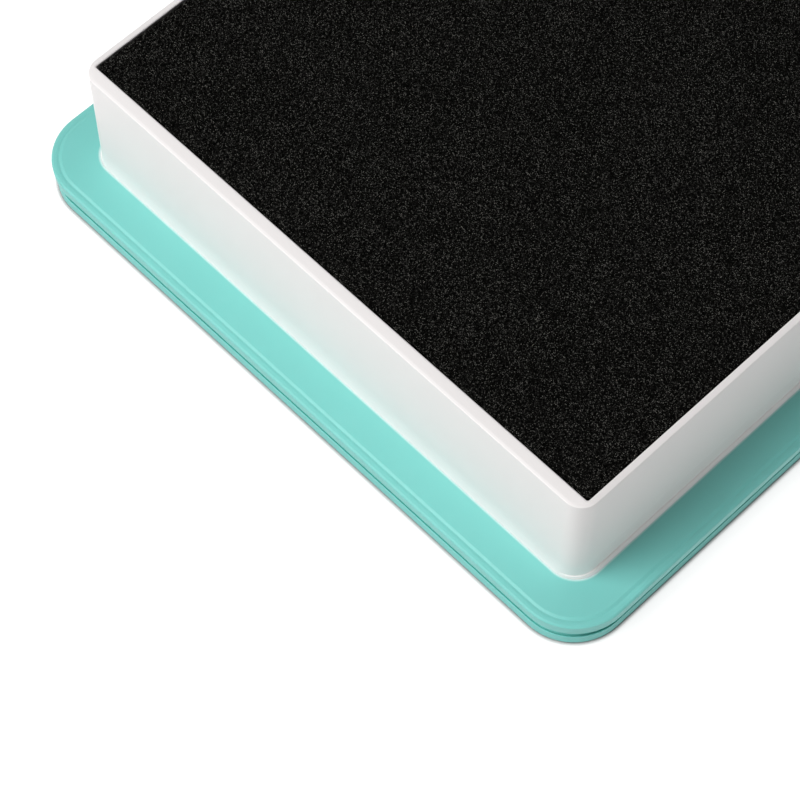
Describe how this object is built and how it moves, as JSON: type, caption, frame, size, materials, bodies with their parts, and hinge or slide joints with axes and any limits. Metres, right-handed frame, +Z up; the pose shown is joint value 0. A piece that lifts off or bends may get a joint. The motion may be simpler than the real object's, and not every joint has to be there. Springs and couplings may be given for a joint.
{
  "type": "foam filter panel",
  "caption": "Rectangular framed filter panel with a black foam pad level with the rim, a pleated sheet under it and a soft double-lip seal round the foot.",
  "frame": {"origin": "middle of the footprint, on the surface that the seal's lower lip rests on", "axes": "+Z up through the foam, +Y along the long side, +X along the short side"},
  "size_m": [0.1488, 0.1888, 0.0354],
  "materials": {
    "white_plastic": "satin moulded plastic",
    "teal_rubber": "matt soft rubber",
    "black_foam": "open-cell reticulated foam",
    "filter_paper": "pleated non-woven sheet",
    "clear_glue": "set hot-melt glue"
  },
  "bodies": {
    "frame": {"filter_frame": "white_plastic", "lip_seal": "teal_rubber", "support_grid": "white_plastic", "pleat_pack": "filter_paper", "glue_bead_front": "clear_glue", "glue_bead_rear": "clear_glue", "glue_bead_left": "clear_glue", "glue_bead_right": "clear_glue", "spacer_thread_1": "clear_glue", "spacer_thread_2": "clear_glue", "spacer_thread_3": "clear_glue", "spacer_thread_4": "clear_glue"},
    "foam": {"foam_pad": "black_foam"}
  },
  "joints": [
    {"name": "foam_lift", "type": "slide", "parent": "frame", "child": "foam", "axis": [0, 0, 1], "range_m": [0, 0.04]}
  ]
}
